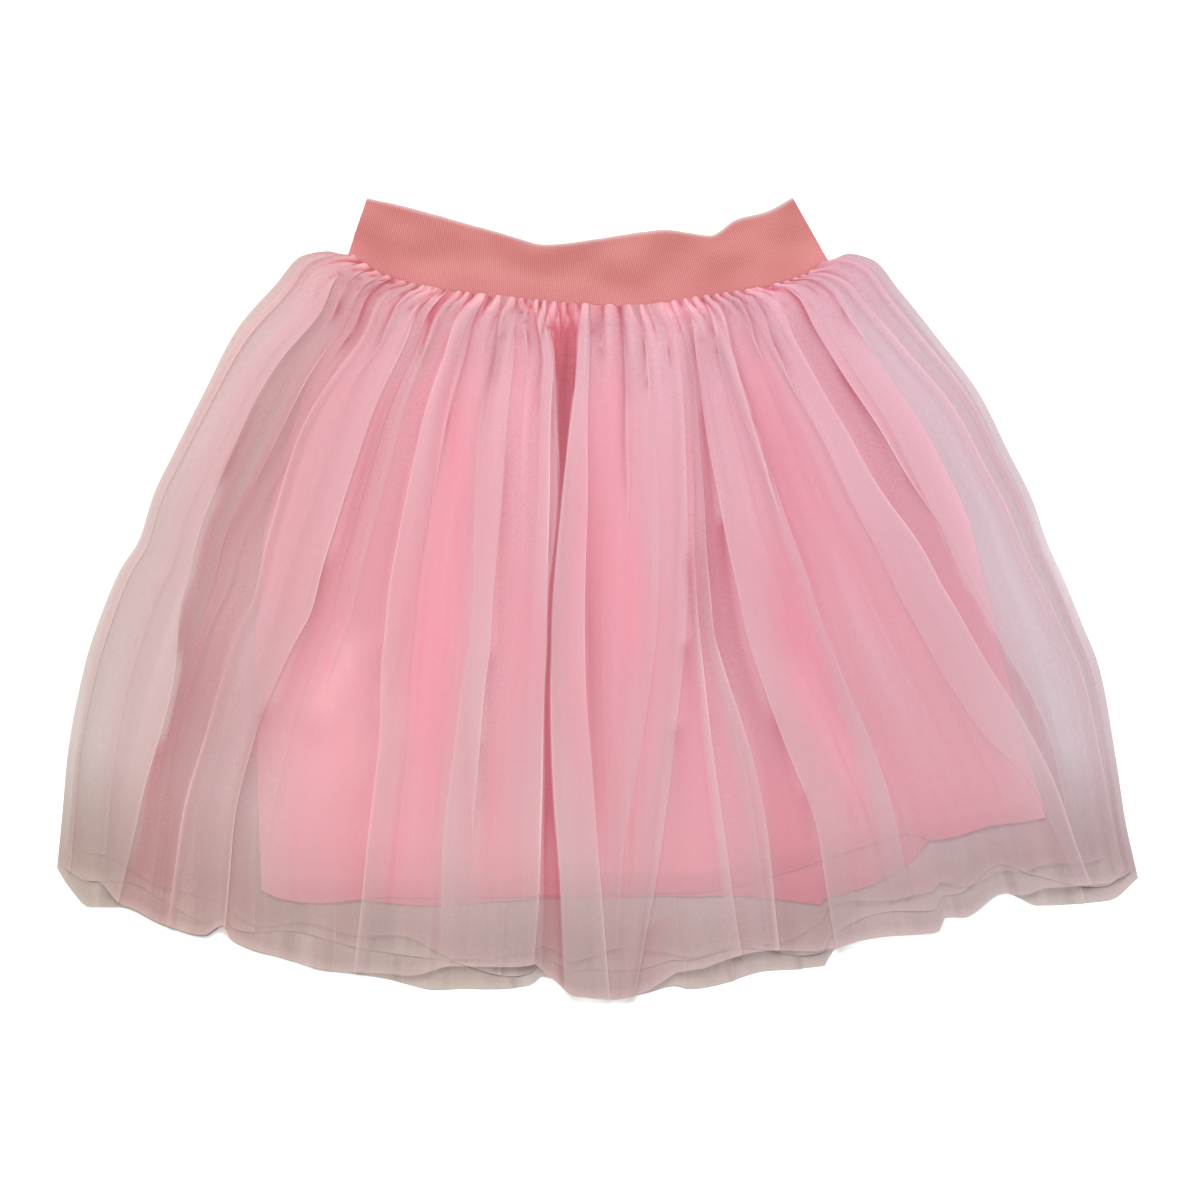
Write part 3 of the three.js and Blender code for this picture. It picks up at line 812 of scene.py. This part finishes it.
def lining_material(name, colour, deep_tone_and_shade, crease_highlight, side):
    material = bpy.data.materials.new(name)
    material.use_nodes = True
    tree = material.node_tree
    shader = tree.nodes["Principled BSDF"]
    shader.inputs["Roughness"].default_value = 0.45
    shader.inputs["Specular IOR Level"].default_value = 0.35
    uv = tree.nodes.new("ShaderNodeUVMap")
    uv.uv_map = "cut"
    weave = tree.nodes.new("ShaderNodeTexWave")
    weave.inputs["Scale"].default_value = WEAVE_PER_METRE
    tree.links.new(uv.outputs[0], weave.inputs["Vector"])
    cloud = noise_node(tree, uv.outputs[0], (18.0, 12.0, 1.0))
    share = math_node(tree, "MULTIPLY", cloud, 0.4)
    share = math_node(tree, "MULTIPLY_ADD", mask_node(tree, "hem"), 0.9, share)
    # Painted shade over the right of the lining, and in the troughs of its creases
    share = math_node(tree, "MULTIPLY_ADD", mask_node(tree, "shaded"), 0.75, share)
    bend = mask_node(tree, "bend")
    share = math_node(tree, "MAXIMUM", share, math_node(tree, "MULTIPLY", bend, -0.9))
    tint = mix_node(tree, share, colour, deep_tone_and_shade)
    # Painted highlight on the ridges of the creases
    tint = mix_node(tree, math_node(tree, "MULTIPLY", bend, 0.6), tint, crease_highlight)
    tint = mix_node(tree, math_node(tree, "MULTIPLY", mask_node(tree, "side"), 0.85), tint, side)
    tree.links.new(tint, shader.inputs["Base Color"])
    bump = tree.nodes.new("ShaderNodeBump")
    bump.inputs["Strength"].default_value = 0.2
    bump.inputs["Distance"].default_value = 0.0001
    tree.links.new(weave.outputs["Fac"], bump.inputs["Height"])
    tree.links.new(bump.outputs[0], shader.inputs["Normal"])
    return material


# The third colour is the lining's deep tone and its painted shade, the fourth its painted crease
# highlight
LINING_CLOTH = lining_material("pink lining", (0.68, 0.12, 0.206, 1), (0.50, 0.07, 0.13, 1),
                               (0.85, 0.34, 0.40, 1), (0.60, 0.37, 0.40, 1))
lining_back = lining_panel("lining_back_panel", "lining_back", LINING_BACK_HEM, [])
finish_sheet(lining_back, "lining_back", LINING_CLOTH)
lining_front = lining_panel("lining_front_panel", "lining_front", LINING_FRONT_HEM, LINING_CREASES)
finish_sheet(lining_front, "lining_front", LINING_CLOTH)


# Under tulle, front
# The second ply of net over the lining. Its pleats lie between those of the outer ply and show
# through it as paler bands, and its raw hem shows above the outer one.
FRONT_HEM = [
    {"x": -0.329, "up": 0.006},
    {"x": -0.306, "up": 0.015},
    {"x": -0.288, "up": 0.002},
    {"x": -0.163, "up": 0.001},
    {"x": -0.12, "up": 0.005},
    {"x": -0.088, "up": 0.014},
    {"x": -0.04, "up": 0.013},
    {"x": -0.029, "up": 0},
    {"x": 0.022, "up": 0},
    {"x": 0.05, "up": 0.009},
    {"x": 0.08, "up": 0.014},
    {"x": 0.139, "up": 0.009},
    {"x": 0.146, "up": 0},
    {"x": 0.25, "up": 0},
    {"x": 0.275, "up": 0.011},
    {"x": 0.316, "up": 0.01},
    {"x": 0.33, "up": 0.005},
]
UNDER_FRONT_UP = 0.022
UNDER_FRONT_STEP_UP = 0.004
UNDER_PLEATS = [
    {"edge": (0.045, 0.05, 0.035, 0.03, 0.035, 0.035, 0.035),
     "lap": (0.01, 0.02, 0.02, 0.022, 0.02, 0.015, 0.01)},
    {"edge": (0.1, 0.125, 0.115, 0.094, 0.09, 0.085, 0.08),
     "lap": (0.02, 0.025, 0.03, 0.02, 0.01, 0.01, 0.01)},
    {"edge": (0.23, 0.235, 0.232, 0.228, 0.22, 0.22, 0.22), "lap": (0.03, 0.035, 0.03, 0.01, 0, 0, 0)},
    {"edge": (0.32, 0.335, 0.345, 0.36, 0.357, 0.352, 0.352),
     "lap": (0, 0, -0.02, -0.03, -0.035, -0.05, -0.06)},
    {"edge": (0.43, 0.451, 0.459, 0.45, 0.445, 0.44, 0.44), "lap": (0.025, 0.03, 0.02, 0.005, 0, 0, 0)},
    {"edge": (0.47, 0.465, 0.46, 0.45, 0.459, 0.467, 0.47),
     "lap": (0, 0, -0.01, -0.03, -0.035, -0.037, -0.04)},
    {"edge": (0.6, 0.6, 0.59, 0.575, 0.55, 0.53, 0.52),
     "lap": (0.03, 0.03, 0.035, 0.03, 0.03, 0.025, 0.02)},
    {"edge": (0.681, 0.672, 0.649, 0.638, 0.65, 0.66, 0.665),
     "lap": (0.02, 0.015, 0.01, 0.01, 0.015, 0.015, 0.01)},
    {"edge": (0.747, 0.739, 0.737, 0.75, 0.77, 0.79, 0.8),
     "lap": (0.03, 0.035, 0.03, 0.015, 0.02, 0.025, 0.03)},
    {"edge": (0.885, 0.889, 0.897, 0.908, 0.93, 0.95, 0.955),
     "lap": (-0.04, -0.04, -0.04, -0.03, -0.02, -0.01, -0.01),
     "shade": (0.2, 0.5, 0.9, 1.1, 1.1, 0.9, 0.6), "reach": 0.08},
    {"edge": (0.965, 0.965, 0.972, 0.975, 0.98, 0.98, 0.98),
     "lap": (0.01, 0.01, 0.012, 0.014, 0.012, 0.01, 0.01)},
]


def front_hem_up(x):
    return follow(FRONT_HEM, "x", "up", x)


def under_hem_up(x):
    stray = 0.004 * np.sin(41 * x + 1) + 0.003 * np.sin(97 * x)
    return np.maximum(UNDER_FRONT_UP + stray, front_hem_up(x) + UNDER_FRONT_STEP_UP)


UNDER_DYE_AND_SHADE = {
    "cover": 0.22,
    "line_cover": 0.1,
    "shade_cover": 0.2,
    "pale": (0.70, 0.54, 0.57),
    "deep_tone_and_shade": (0.50, 0.14, 0.19),
    "along": [
        (0.0, (0.58, 0.30, 0.355, 0.5)),
        (0.06, (0.64, 0.38, 0.44, 0.15)),
        (0.2, (0.71, 0.465, 0.54, 0.0)),
        (0.5, (0.66, 0.435, 0.5, 0.0)),
        (0.82, (0.61, 0.44, 0.475, 0.0)),
        (0.93, (0.45, 0.32, 0.335, 0.06)),
    ],
}
UNDER_NET = tulle_material("under net")
tulle_under_front = tulle_ply("under_tulle_front", "tulle_under_front", UNDER_DYE_AND_SHADE, UNDER_PLEATS,
                              under_hem_up, side_in=UNDER_SIDE_IN, ply_gap=0.0003, seed=3, hem_line=0.2)
finish_sheet(tulle_under_front, "tulle_under_front", UNDER_NET)


# Outer tulle, front
# The outermost ply on top. Its wide uneven pleats give the skirt its stripes: pale where the net
# lies three deep, and deep pink in the gaps where the lining shows through a single ply, with painted
# shade beside each sharp fold edge and between the gathers.
TOP_PLEATS = [
    {"edge": (0.012, 0.02, 0.013, 0.01, 0.012, 0.012, 0.012),
     "lap": (0.004, 0.008, 0.009, 0.008, 0.008, 0.006, 0.005),
     "soft": 0.4, "shade": 0.1},
    {"edge": (0.03, 0.071, 0.055, 0.056, 0.082, 0.072, 0.058),
     "lap": (0.01, 0.03, 0.03, 0.035, 0.045, 0.035, 0.02),
     "shade": (0, 0.5, 0.9, 1, 0.9, 0.7, 0.5), "reach": 0.06},
    {"edge": (0.08, 0.109, 0.097, 0.084, 0.095, 0.095, 0.09),
     "lap": (0.008, 0.01, 0.012, 0.01, 0.006, 0, 0),
     "length": 0.62, "shade": 0.2, "soft": 0.8},
    {"edge": (0.118, 0.141, 0.118, 0.126, 0.122, 0.11, 0.103),
     "lap": (-0.008, -0.008, -0.01, -0.01, -0.01, -0.008, -0.006),
     "shade": 0.25, "soft": 0.9},
    {"edge": (0.191, 0.205, 0.196, 0.19, 0.168, 0.158, 0.157),
     "lap": (0.06, 0.06, 0.07, 0.055, 0.04, 0.04, 0.035),
     "shade": (0.1, 0.5, 0.8, 0.7, 0.5, 0.4, 0.2), "reach": 0.025},
    {"edge": (0.262, 0.268, 0.265, 0.268, 0.285, 0.282, 0.275),
     "lap": (-0.01, -0.02, -0.035, -0.042, -0.033, -0.028, -0.01),
     "shade": (0.2, 0.5, 0.5, 0.4, 0.3, 0.3, 0.2), "reach": 0.02},
    {"edge": (0.355, 0.378, 0.385, 0.386, 0.385, 0.382, 0.38),
     "lap": (0.065, 0.07, 0.06, 0.035, 0.012, 0, 0),
     "shade": (0.3, 0.3, 0.6, 0.7, 0.5, 0.3, 0.2), "reach": 0.016},
    {"edge": (0.4, 0.443, 0.446, 0.448, 0.449, 0.448, 0.442),
     "lap": (0, 0.015, 0.018, 0.022, 0.04, 0.055, 0.05),
     "shade": 0.9, "line": 1, "reach": 0.006},
    {"edge": (0.424, 0.447, 0.459, 0.451, 0.454, 0.457, 0.457), "lap": (0.02, 0.02, 0.012, 0, 0, 0, 0),
     "length": 0.34, "shade": (0.1, 1.6, 1.6, 1, 1, 1, 1), "reach": 0.03,
     "facing": (0.483, 0.48, 0.463, 0.46, 0.46, 0.46, 0.46)},
    {"edge": (0.483, 0.48, 0.463, 0.454, 0.459, 0.467, 0.47),
     "lap": (-0.025, -0.025, -0.02, -0.02, -0.03, -0.037, -0.03),
     "shade": (0.1, 1.6, 1, 0.8, 0.9, 0.9, 0.6), "reach": 0.02,
     "facing": (0.424, 0.447, 0.456, 0.448, 0.449, 0.448, 0.442)},
    {"edge": (0.505, 0.501, 0.496, 0.491, 0.499, 0.506, 0.512),
     "lap": (0.02, 0.025, 0.03, 0.025, 0.02, 0.02, 0.02),
     "shade": (0.1, 0.3, 0.5, 0.9, 0.6, 0.3, 0.2), "reach": 0.024},
    {"edge": (0.657, 0.65, 0.626, 0.607, 0.579, 0.56, 0.534),
     "lap": (0.1, 0.105, 0.08, 0.04, 0.031, 0.035, 0.022),
     "shade": (0.2, 0.3, 0.6, 0.85, 0.6, 0.6, 0.5), "reach": 0.014},
    {"edge": (0.67, 0.66, 0.636, 0.62, 0.621, 0.628, 0.635),
     "lap": (0, 0, 0, 0.008, 0.01, 0.01, 0.01), "soft": 0.8,
     "shade": 0.3},
    {"edge": (0.681, 0.67, 0.647, 0.636, 0.657, 0.668, 0.67),
     "lap": (0.01, 0.01, 0.01, 0.012, 0.012, 0.01, 0.01),
     "soft": 0.8, "shade": 0.4},
    {"edge": (0.699, 0.676, 0.662, 0.668, 0.69, 0.715, 0.72),
     "lap": (-0.03, -0.05, -0.06, -0.06, -0.05, -0.03, -0.02),
     "shade": (0.4, 0.5, 0.7, 0.9, 0.7, 0.5, 0.2), "reach": 0.016},
    {"edge": (0.853, 0.832, 0.841, 0.879, 0.906, 0.937, 0.959),
     "lap": (0.06, 0.042, 0.033, 0.046, 0.041, 0.022, 0.011),
     "soft": 0.5, "shade": (0.1, 0.5, 0.5, 0.3, 0.2, 0.1, 0.1), "reach": 0.03},
    {"edge": (0.947, 0.953, 0.967, 0.974, 0.982, 0.986, 0.99),
     "lap": (0.008, 0.01, 0.01, 0.01, 0.009, 0.008, 0.008),
     "soft": 0.6, "shade": 0.2},
    {"edge": (0.985, 0.983, 0.988, 0.99, 0.993, 0.994, 0.995),
     "lap": (0.006, 0.008, 0.008, 0.007, 0.006, 0.005, 0.004),
     "soft": 0.4, "shade": 0.1},
]

# Small folds that the gathering makes: where they start on the seam, how far each is folded over, and
# the share of the skirt's length at which it has opened out
GATHERS = [
    {"at": 0.052, "lap": 0.012, "length": 0.16},
    {"at": 0.096, "lap": 0.012, "length": 0.2},
    {"at": 0.15, "lap": -0.01, "length": 0.18},
    {"at": 0.185, "lap": 0.01, "length": 0.1},
    {"at": 0.21, "lap": 0.01, "length": 0.12},
    {"at": 0.225, "lap": -0.014, "length": 0.16},
    {"at": 0.288, "lap": 0.008, "length": 0.4},
    {"at": 0.33, "lap": -0.006, "length": 0.3},
    {"at": 0.371, "lap": 0.008, "length": 0.15},
    {"at": 0.388, "lap": -0.012, "length": 0.24},
    {"at": 0.412, "lap": 0.008, "length": 0.14},
    {"at": 0.44, "lap": 0.012, "length": 0.09},
    {"at": 0.458, "lap": 0.012, "length": 0.075},
    {"at": 0.474, "lap": -0.01, "length": 0.08},
    {"at": 0.527, "lap": -0.012, "length": 0.12},
    {"at": 0.565, "lap": -0.01, "length": 0.4},
    {"at": 0.602, "lap": -0.014, "length": 0.2},
    {"at": 0.638, "lap": 0.01, "length": 0.16},
    {"at": 0.735, "lap": -0.01, "length": 0.2},
    {"at": 0.756, "lap": 0.016, "length": 0.42},
    {"at": 0.796, "lap": 0.01, "length": 0.16},
    {"at": 0.82, "lap": 0.01, "length": 0.24},
    {"at": 0.88, "lap": -0.014, "length": 0.5},
    {"at": 0.921, "lap": -0.012, "length": 0.2},
]


def with_gathers(pleats, gathers):
    """The pleats and the small gathers between them, in order. A gather keeps its share of the gap."""
    seams = [0.0] + [pleat["edge"][0] for pleat in pleats] + [1.0]
    edges = [(0.0,) * len(STATIONS)] + [pleat["edge"] for pleat in pleats] + [(1.0,) * len(STATIONS)]
    rows = [dict(pleat, order=pleat["edge"][0]) for pleat in pleats]
    for gather in gathers:
        k = int(np.searchsorted(seams, gather["at"])) - 1
        share = (gather["at"] - seams[k]) / (seams[k + 1] - seams[k])
        path = tuple(low + share * (high - low) for low, high in zip(edges[k], edges[k + 1]))
        rows.append({"edge": path, "lap": (gather["lap"],) * len(STATIONS), "length": gather["length"],
                     "soft": 0.8, "shade": 1.1, "line": 0.6, "reach": 0.006, "order": gather["at"]})
    return sorted(rows, key=lambda row: row["order"])


TOP_DYE_AND_SHADE = {
    "cover": 0.25,
    "line_cover": 0.22,
    "shade_cover": 0.36,
    "pale": (0.78, 0.58, 0.61),
    "deep_tone_and_shade": (0.38, 0.085, 0.12),
    "along": [
        (0.0, (0.60, 0.315, 0.365, 0.7)),
        (0.04, (0.65, 0.36, 0.435, 0.35)),
        (0.14, (0.75, 0.45, 0.54, 0.06)),
        (0.45, (0.725, 0.455, 0.53, 0.0)),
        (0.8, (0.66, 0.48, 0.52, 0.0)),
        (0.93, (0.50, 0.365, 0.38, 0.06)),
    ],
}
TOP_NET = tulle_material("outer net")
raise_threads(TOP_NET)
GATHER_RISE = 0.0018
tulle_top_front = tulle_ply("outer_tulle_front", "tulle_top_front", TOP_DYE_AND_SHADE,
                            with_gathers(TOP_PLEATS, GATHERS), front_hem_up,
                            side_in=0.0, ply_gap=0.0004, seed=4, gather=GATHER_RISE)
finish_sheet(tulle_top_front, "tulle_top_front", TOP_NET)


# Waistband, back and front
# Wide coral elastic, knitted with fine upright ribs and a pale woven edge. It is one loop laid flat,
# sewn over the gathered net, and its top edge sags in the middle.
BAND_TOP = [
    {"x": -0.1406, "y": 0.242},
    {"x": -0.1266, "y": 0.2394},
    {"x": -0.09, "y": 0.2297},
    {"x": -0.0534, "y": 0.2193},
    {"x": -0.032, "y": 0.2138},
    {"x": 0.0198, "y": 0.2205},
    {"x": 0.0412, "y": 0.223},
    {"x": 0.0686, "y": 0.2193},
    {"x": 0.084, "y": 0.229},
    {"x": 0.1022, "y": 0.2336},
    {"x": 0.1188, "y": 0.2424},
]
BAND_COLUMNS = 300
BAND_ROWS = 40
BAND_SEAM_GAP = 0.0005
BAND_THICKNESS = 0.0013
BAND_CUT = (0.295, 0.041)
PALE_EDGE = 0.0014


def band_half(name, node, top_drop, thickness_down):
    share_across = np.linspace(0, 1, BAND_COLUMNS)[None, :]
    share_down = np.linspace(0, 1, BAND_ROWS)[:, None]
    zero = 0 * share_across * share_down
    top = edge_point(BAND_TOP, share_across + zero)
    top[..., 1] -= top_drop
    seam = edge_point(SEAM, share_across + zero)
    seam[..., 1] += BAND_SEAM_GAP
    place = top + (seam - top) * share_down[..., None]
    height = evened(top_of(node, place.reshape(-1, 2)), BAND_ROWS, 4).reshape(zero.shape)
    selvage = np.exp(-(share_down * BAND_CUT[1] / PALE_EDGE) ** 2) + zero
    masks = {"selvage": selvage, "down": share_down + zero}
    points = np.concatenate([place, height[..., None] - 0.0002], -1)
    piece = sheet_object(name, points, cut_place(points), masks)
    wall = piece.modifiers.new("elastic", "SOLIDIFY")
    wall.thickness = thickness_down
    wall.offset = -1
    round_over = piece.modifiers.new("soft edges", "BEVEL")
    round_over.width = 0.0004
    round_over.segments = 2
    return piece


RIBS_PER_METRE = 780.0
KNIT_ROWS_PER_METRE = 1100.0


def band_material():
    material = bpy.data.materials.new("ribbed elastic")
    material.use_nodes = True
    tree = material.node_tree
    shader = tree.nodes["Principled BSDF"]
    shader.inputs["Roughness"].default_value = 0.75
    uv = tree.nodes.new("ShaderNodeUVMap")
    uv.uv_map = "cut"
    apart = tree.nodes.new("ShaderNodeSeparateXYZ")
    tree.links.new(uv.outputs[0], apart.inputs[0])
    rib = math_node(tree, "MULTIPLY", apart.outputs["X"], 2 * math.pi * RIBS_PER_METRE)
    rib = math_node(tree, "SINE", rib)
    row = math_node(tree, "MULTIPLY", apart.outputs["Y"], 2 * math.pi * KNIT_ROWS_PER_METRE)
    row = math_node(tree, "SINE", row)
    knit = math_node(tree, "MULTIPLY_ADD", row, 0.3, rib)
    cloud = math_node(tree, "MULTIPLY", noise_node(tree, uv.outputs[0], (30.0, 60.0, 1.0)), 0.8)
    share = math_node(tree, "MULTIPLY_ADD", knit, 0.35, cloud)
    tint = mix_node(tree, share, (0.36, 0.095, 0.09, 1), (0.51, 0.195, 0.185, 1))
    low = tree.nodes.new("ShaderNodeMapRange")
    low.inputs["From Min"].default_value = 0.55
    low.inputs["From Max"].default_value = 1.0
    low.inputs["To Max"].default_value = 0.35
    tree.links.new(mask_node(tree, "down"), low.inputs["Value"])
    tint = mix_node(tree, low.outputs[0], tint, (0.60, 0.20, 0.22, 1))
    tint = mix_node(tree, mask_node(tree, "selvage"), tint, (0.50, 0.38, 0.36, 1))
    tree.links.new(tint, shader.inputs["Base Color"])
    bump = tree.nodes.new("ShaderNodeBump")
    bump.inputs["Strength"].default_value = 0.6
    bump.inputs["Distance"].default_value = 0.0003
    tree.links.new(knit, bump.inputs["Height"])
    tree.links.new(bump.outputs[0], shader.inputs["Normal"])
    return material


ELASTIC = band_material()
waistband_back = band_half("waistband_back_half", "waistband_back", 0.0015, BAND_THICKNESS)
finish_sheet(waistband_back, "waistband_back", ELASTIC)
waistband_front = band_half("waistband_front_half", "waistband_front", 0.0, BAND_THICKNESS)
finish_sheet(waistband_front, "waistband_front", ELASTIC)


# Floor, light and camera
# A plain white surface under soft light from all round and a little more from the upper left,
# seen from straight above.
FLOOR_SIZE = 8.0
floor_mesh = bpy.data.meshes.new("floor")
floor_bm = bmesh.new()
bmesh.ops.create_grid(floor_bm, x_segments=1, y_segments=1, size=FLOOR_SIZE / 2)
floor_bm.to_mesh(floor_mesh)
floor_bm.free()
floor = bpy.data.objects.new("floor", floor_mesh)
bpy.context.scene.collection.objects.link(floor)
floor_paint = bpy.data.materials.new("white board")
floor_paint.use_nodes = True
floor_paint.node_tree.nodes["Principled BSDF"].inputs["Base Color"].default_value = (0.93, 0.93, 0.93, 1)
floor_paint.node_tree.nodes["Principled BSDF"].inputs["Roughness"].default_value = 0.9
floor_mesh.materials.append(floor_paint)

world = bpy.data.worlds.new("studio")
world.use_nodes = True
world.node_tree.nodes["Background"].inputs["Color"].default_value = (1, 1, 1, 1)
world.node_tree.nodes["Background"].inputs["Strength"].default_value = 0.56
world.cycles.sampling_method = "NONE"
bpy.context.scene.world = world

KEY_FROM = Vector((-0.3, 1.6, 4.2))
key_light = bpy.data.lights.new("soft box", "AREA")
key_light.energy = 255
key_light.size = 1.6
key = bpy.data.objects.new("soft box", key_light)
key.location = KEY_FROM
key.rotation_euler = (-KEY_FROM).to_track_quat("-Z", "Y").to_euler()
bpy.context.scene.collection.objects.link(key)

CAMERA_HEIGHT = 2.6
FRAME_WIDTH = 0.732
FRAME_MIDDLE = (0.0015, -0.0027)
camera_data = bpy.data.cameras.new("camera")
camera_data.sensor_fit = "HORIZONTAL"
camera_data.angle = 2 * math.atan(FRAME_WIDTH / 2 / CAMERA_HEIGHT)
camera = bpy.data.objects.new("camera", camera_data)
camera.location = (*FRAME_MIDDLE, CAMERA_HEIGHT)
bpy.context.scene.collection.objects.link(camera)
bpy.context.scene.camera = camera
bpy.context.scene.view_settings.view_transform = "Standard"
bpy.context.scene.cycles.transparent_max_bounces = 20
bpy.context.scene.cycles.diffuse_bounces = 2
